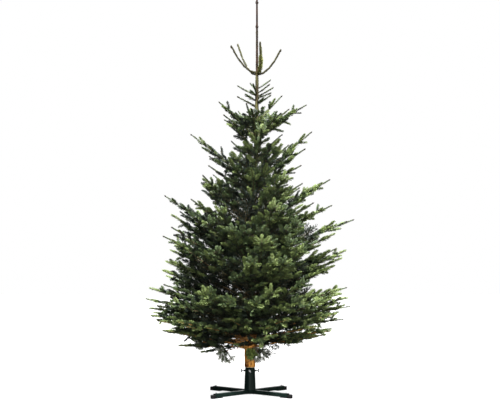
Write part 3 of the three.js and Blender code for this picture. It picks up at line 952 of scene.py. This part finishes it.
def build_needle_pieces(zone, tone, quads):
    """Equal pieces, each of no more needles than one piece may hold."""
    count = ceil(len(quads) / MOST_NEEDLES)
    for k, part in enumerate(np.array_split(quads, count)):
        vertices = part.reshape(-1, 3)
        faces = np.arange(len(vertices)).reshape(-1, 4)
        name = f"needles_{zone}_{tone}_{k + 1}"
        new_piece(name, (vertices, faces), NEEDLES[tone], ZONE_NODES[zone])


def build_twigs():
    for zone in ZONES:
        rows = [g for g in growths if g["zone"] == zone and g["order"] > 0]
        new_piece(f"twigs_{zone}", twig_mesh(rows), TWIG, smooth=True)


def smooth_path(points, per):
    """Points along a curve through the given ones, and each one's share of the way."""
    p = np.array([2 * points[0] - points[1], *points, 2 * points[-1] - points[-2]])
    t = np.linspace(0, 1, per, endpoint=False)[:, None]
    stretches = [
        0.5 * (2 * b + (c - a) * t + (2 * a - 5 * b + 4 * c - d) * t ** 2 + (3 * b - a - 3 * c + d) * t ** 3)
        for a, b, c, d in zip(p, p[1:], p[2:], p[3:])
    ]
    path = np.concatenate([*stretches, [points[-1]]])
    steps = np.linalg.norm(np.diff(path, axis=0), axis=1)
    return path, np.concatenate([[0], np.cumsum(steps)]) / steps.sum()


def limb_mesh(points, wood, sides=8):
    """A bough's limb: it flares where it leaves the trunk, and tapers to its last growth."""
    path, share = smooth_path(points, 7)
    ways = unit(np.gradient(path, axis=0))
    side, up = across(ways)
    distance = share * path_length(points)
    radius = TIP_RADIUS + (wood - TIP_RADIUS) * np.maximum(1 - share, 0) ** 1.4
    radius *= 1 + 0.7 * np.exp(-((distance - 0.03) / 0.018) ** 2)
    turn = ring_angles(sides)
    out = side[:, None] * np.cos(turn)[None, :, None] + up[:, None] * np.sin(turn)[None, :, None]
    out = out.reshape(-1, 3)
    centre = np.repeat(path, sides, axis=0)
    around = np.repeat(radius, sides)
    vertices = bark_relief(centre + out * around[:, None], out, around, 1.6)
    return vertices, tube_faces(len(path), sides)


def build_limbs():
    replaced = {"top": nodes_named("second_bough"), "foot": nodes_named("lowest_bough")}
    for zone in ZONES:
        shape = joined([limb_mesh(points, wood) for points, wood, z in limbs if z == zone])
        new_piece(f"limbs_{zone}", shape, LIMB_BARK[zone], replaced.get(zone, ()), smooth=True)


def bud_mesh(centre, way, size):
    """A pointed bud, nearly twice as long as it is wide."""
    side, up = across(way, (0.3, 0.1, 0.9))
    rings = [(-1.0, 0.35), (-0.5, 0.9), (0.1, 1.0), (0.7, 0.62), (1.25, 0.12)]
    vertices = [
        centre + way * along * size + (side * cos(a) + up * sin(a)) * out * size * 0.62
        for along, out in rings
        for a in ring_angles(6)
    ]
    return np.array(vertices), tube_faces(len(rings), 6)


def build_buds():
    """A cluster is one large bud between three small ones."""
    shapes = []
    for centre, way, size in bud_clusters:
        shapes.append(bud_mesh(centre + way * size, way, size))
        side, up = across(way, (0.2, 0.9, 0.3))
        turn = random.uniform(0, 6)
        for k in range(3):
            a = turn + k * 2 * pi / 3
            out = side * cos(a) + up * sin(a)
            shapes.append(bud_mesh(centre + out * size * 0.7, unit(way + out * 0.7), size * 0.75))
    new_piece("buds", joined(shapes), BUD, smooth=True)


grow_crown()
build_needles()
build_twigs()
build_limbs()
build_buds()
build_trunk()


# ---- The stand ----

STAND_TURN = radians(47.3)  # azimuth of the first arm
ARM_BOX = 0.025
ARM_WALL = 0.0015
ARM_LIFT = 0.005
ARM_END = 0.323
HUB_RADIUS = 0.037
TUBE_TOP_RADIUS = 0.0315
TUBE_WALL = 0.002
CLAMP_HEIGHT = 0.151


def tube_radius(z):
    """Outer radius of the stand's conical tube at a height."""
    low = ARM_LIFT + ARM_BOX
    return HUB_RADIUS + (TUBE_TOP_RADIUS - HUB_RADIUS) * (z - low) / (TUBE_TOP - low)


TUBE_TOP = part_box("stand_tube")[1][2]


def build_tube():
    """The conical tube on its hub: rounded rims, the seam of the weld between them, and a floor inside."""
    low = ARM_LIFT + ARM_BOX
    edge, seam, rim = 0.0008, 0.0006, TUBE_WALL / 2
    floor = 0.034
    cap = 0.004  # radius of the face that closes each end of the profile
    rim_height = TUBE_TOP - rim
    profile = [(ARM_LIFT, cap), (ARM_LIFT, HUB_RADIUS - edge), (ARM_LIFT + edge, HUB_RADIUS)]
    profile += [(low - 0.002, HUB_RADIUS), (low - 0.001, HUB_RADIUS + seam), (low + 0.001, HUB_RADIUS + seam)]
    profile += [(z, tube_radius(z)) for z in np.linspace(low + 0.003, rim_height, 12)]
    profile += [
        (rim_height + rim * sin(a), TUBE_TOP_RADIUS - rim + rim * cos(a))
        for a in np.linspace(0, pi, 7)
    ]
    profile += [(z, tube_radius(z) - TUBE_WALL) for z in np.linspace(TUBE_TOP - TUBE_WALL, floor, 8)]
    profile += [(floor, cap)]
    lathe("tube", profile, 96, GREEN_PAINT, ["stand_tube"])


def prism_mesh(corners, start, end, chamfer):
    """A bar along +X from a convex outline of (y, z) points about its middle, with chamfered ends."""
    outline = np.array(corners)
    shrunk = outline * (1 - chamfer / np.abs(outline).max())
    rings = [(start, shrunk), (start + chamfer, outline), (end - chamfer, outline), (end, shrunk)]
    vertices = [(x, y, z) for x, loop in rings for y, z in loop]
    return np.array(vertices, float), solid_faces(len(rings), len(outline))


def rounded_square(half, radius, per_corner=5):
    """Points round a square with rounded corners."""
    points = []
    for k in range(4):
        middle = (k + 0.5) * QUARTER
        cx = copysign(half - radius, cos(middle))
        cy = copysign(half - radius, sin(middle))
        for a in np.linspace(middle - QUARTER / 2, middle + QUARTER / 2, per_corner):
            points.append((cx + radius * cos(a), cy + radius * sin(a)))
    return points


def circle(radius, count):
    return [(radius * cos(a), radius * sin(a)) for a in ring_angles(count)]


def hub_surface(outline, height):
    """An outline of (y, z) points about a height, laid on the round of the hub."""
    return [(sqrt(HUB_RADIUS ** 2 - y ** 2), y, z + height) for y, z in outline]


def build_arm(number, azimuth):
    """A box-section arm that is cut to the hub's round, with a weld bead there and a bolt near its end."""
    outer = rounded_square(ARM_BOX / 2, 0.0028)
    inner = rounded_square(ARM_BOX / 2 - ARM_WALL, 0.0014)
    middle = ARM_LIFT + ARM_BOX / 2
    stations = [0, 0.25, 0.5, 0.75, 1]
    rings = [
        [(x + (ARM_END - x) * share, y, z) for x, y, z in hub_surface(loop, middle)]
        for loop, order in ((outer, stations), (inner, stations[::-1]))
        for share in order
    ]
    shape = [p for ring in rings for p in ring], solid_faces(len(rings), len(outer), looped=True)
    new_piece(f"arm_{number}", shape, GREEN_PAINT, [f"stand_arm_{number}"], azimuth=azimuth)
    weld = weld_mesh(outer, middle)
    new_piece(f"arm_weld_{number}", weld, GREEN_PAINT, smooth=True, azimuth=azimuth)

    vertices, faces = prism_mesh(circle(0.006, 6), 0, 0.005, 0.0008)
    head = vertices[:, [1, 2, 0]] + [ARM_END - 0.014, 0, ARM_LIFT + ARM_BOX]
    new_piece(f"arm_bolt_{number}", (head, faces), ZINC, azimuth=azimuth)


def weld_mesh(outline, middle):
    """The bead of weld round the foot of an arm."""
    sides, steps = 6, 4
    loop = np.array(hub_surface(outline, middle))
    after = np.roll(loop, -1, 0)
    dense = np.stack([loop + (after - loop) * i / steps for i in range(steps)], 1).reshape(-1, 3)
    ways = unit(np.roll(dense, -1, 0) - np.roll(dense, 1, 0))
    out = unit(dense - np.array([dense[:, 0].mean(), 0, middle]))
    out = unit(out - ways * (out * ways).sum(1, keepdims=True))
    beside = np.cross(ways, out)
    radius = 0.0016 * (1 + 0.25 * np.sin(np.arange(len(dense)) * 1.9))
    vertices = [
        dense[i] + (out[i] * cos(a) + beside[i] * sin(a)) * radius[i]
        for i in range(len(dense))
        for a in ring_angles(sides)
    ]
    return vertices, solid_faces(len(dense), sides, looped=True)


def bevelled_box(low, high, bevel, segments):
    """Vertices and faces of a box with rounded edges."""
    made = bmesh.new()
    bmesh.ops.create_cube(made, size=1)
    for v in made.verts:
        v.co = [low[i] + (high[i] - low[i]) * (v.co[i] + 0.5) for i in range(3)]
    bmesh.ops.bevel(made, geom=made.edges[:], offset=bevel, segments=segments, profile=0.5, affect="EDGES")
    made.verts.index_update()
    vertices = np.array([v.co for v in made.verts])
    faces = [tuple(v.index for v in f.verts) for f in made.faces]
    made.free()
    return vertices, faces


def build_foot(number, azimuth):
    """A plastic foot: a ribbed block past the arm's end, on a pad that runs back under the arm."""
    half = ARM_BOX / 2
    end = ARM_END + 0.028
    top = 0.024
    gap = 0.0003
    rib = 0.0006
    shapes = [
        bevelled_box((ARM_END + gap, -half, 0), (end, half, top), 0.0035, 4),
        bevelled_box((0.262, -half, 0), (end - 0.002, half, ARM_LIFT - gap), 0.0012, 3),
    ]
    for x in (0.006, 0.012, 0.018):
        low = (ARM_END + x, -half - rib, 0.004)
        high = (ARM_END + x + 0.0025, half + rib, top + rib)
        shapes.append(bevelled_box(low, high, rib, 2))
    shape, replaced = joined(shapes), [f"stand_foot_{number}"]
    new_piece(f"foot_{number}", shape, BLACK_PLASTIC, replaced, smooth=True, azimuth=azimuth)


def wing_mesh(turn):
    """A wing of a screw, above its hub for a turn of 1 and below it for -1, leaning round its axis."""
    tilt = radians(35)
    count = 9
    wing = np.array([
        (0.0545 - 0.0052 * cos(a), layer, turn * (0.0035 + 0.0093 * sin(a) ** 0.7))
        for layer in (-0.0013, 0.0013)
        for a in pi * np.arange(count) / (count - 1)
    ])
    y = wing[:, 1] * cos(tilt) - wing[:, 2] * sin(tilt)
    z = wing[:, 1] * sin(tilt) + wing[:, 2] * cos(tilt)
    faces = [tuple(range(count)), tuple(reversed(range(count, 2 * count)))]
    faces += [(j, j + count, (j + 1) % count + count, (j + 1) % count) for j in range(count)]
    return np.stack([wing[:, 0], y, z], axis=1), faces


def build_clamp(number, azimuth):
    """A wing screw through its nut: a threaded rod and two rounded wings."""
    start, end, step, sides = 0.0292, 0.0545, 0.0005, 12
    groove, crest = 0.0025, 0.003
    rings = [(x, crest if k % 2 else groove) for k, x in enumerate(np.arange(start, end, step))]
    rod = [(x, y * r, z * r) for x, r in rings for y, z in circle(1, sides)], solid_faces(len(rings), sides)
    hub = prism_mesh(circle(0.0052, 16), 0.049, 0.0585, 0.001)
    screw = joined([rod, hub, wing_mesh(1), wing_mesh(-1)])
    nut = prism_mesh(circle(0.007, 6), 0.0312, TUBE_TOP_RADIUS + 0.009, 0.001)
    for vertices, _ in (screw, nut):
        vertices += UP * CLAMP_HEIGHT
    replaced = [f"clamp_screw_{number}"]
    new_piece(f"wing_screw_{number}", screw, ZINC, replaced, azimuth=azimuth)
    new_piece(f"nut_{number}", nut, BLACK_PAINT, azimuth=azimuth)


def build_rivet():
    """The small rivet at the foot of the tube's front."""
    height = ARM_LIFT + ARM_BOX + 0.004
    start = tube_radius(height)
    sides = 14
    dome = [(0, 0.0032), (0.0008, 0.0031), (0.0016, 0.0022), (0.002, 0.0008)]
    vertices = [(start + x, y * r, z * r + height) for x, r in dome for y, z in circle(1, sides)]
    shape = vertices, solid_faces(len(dome), sides)
    new_piece("rivet", shape, GREEN_PAINT, smooth=True, azimuth=radians(284))


build_tube()
for k in range(4):
    build_arm(k + 1, STAND_TURN + k * QUARTER)
    build_foot(k + 1, STAND_TURN + k * QUARTER)
    build_clamp(k + 1, k * QUARTER)
build_rivet()


# ---- Camera, floor and light ----

def build_camera():
    """A camera that stands before the middle of the tree and looks slightly up."""
    camera = add_object("camera", bpy.data.cameras.new("camera"))
    camera.data.lens = CAMERA_LENS
    camera.data.sensor_width = CAMERA_SENSOR
    camera.location = (0, -CAMERA_DISTANCE, CAMERA_HEIGHT)
    camera.rotation_euler = (QUARTER + CAMERA_PITCH, 0, 0)
    bpy.context.scene.camera = camera


def build_light():
    """Soft lamps far away. The white surroundings are only seen and give no light."""
    world = bpy.data.worlds.new("studio")
    bpy.context.scene.world = world
    world.use_nodes = True
    set_inputs(world.node_tree.nodes["Background"], Color=(1, 1, 1, 1))
    world.cycles_visibility.diffuse = False
    world.cycles_visibility.glossy = False

    lamps = [
        # name, azimuth, elevation, width and strength
        ("sky", 0, 90, 170, 1.3),
        ("key", 264, 52, 8, 21.0),
        ("fill", 318, 20, 60, 2.8),
        ("front", 268, 4, 30, 3.2),
        ("back", 75, 45, 60, 6.0),
    ]
    for name, azimuth, elevation, width, strength in lamps:
        lamp = add_object(name, bpy.data.lights.new(name, "SUN"))
        lamp.data.angle = radians(width)
        lamp.data.energy = strength
        rise = radians(elevation)
        place = Vector(polar(radians(azimuth), cos(rise), sin(rise)))
        lamp.rotation_euler = place.to_track_quat("Z", "Y").to_euler()


def build_floor():
    """A pale floor, which shows soft shadows and gives the tree no light."""
    white, half = (1, 1, 1, 1), 30
    look = dict(Roughness=0.9, Base_Color=(0.18, 0.18, 0.18, 1), Specular_IOR_Level=0)
    material = new_material("pale_floor", Emission_Color=white, Emission_Strength=0.8, **look)[0]
    mesh = bpy.data.meshes.new("floor")
    corners = [(-half, -half, 0), (half, -half, 0), (half, half, 0), (-half, half, 0)]
    mesh.from_pydata(corners, [], [(0, 1, 2, 3)])
    mesh.materials.append(material)
    floor = add_object("floor", mesh)
    floor.visible_diffuse = False
    floor.visible_glossy = False


build_camera()
build_light()
build_floor()
bpy.context.scene.view_settings.view_transform = "Standard"
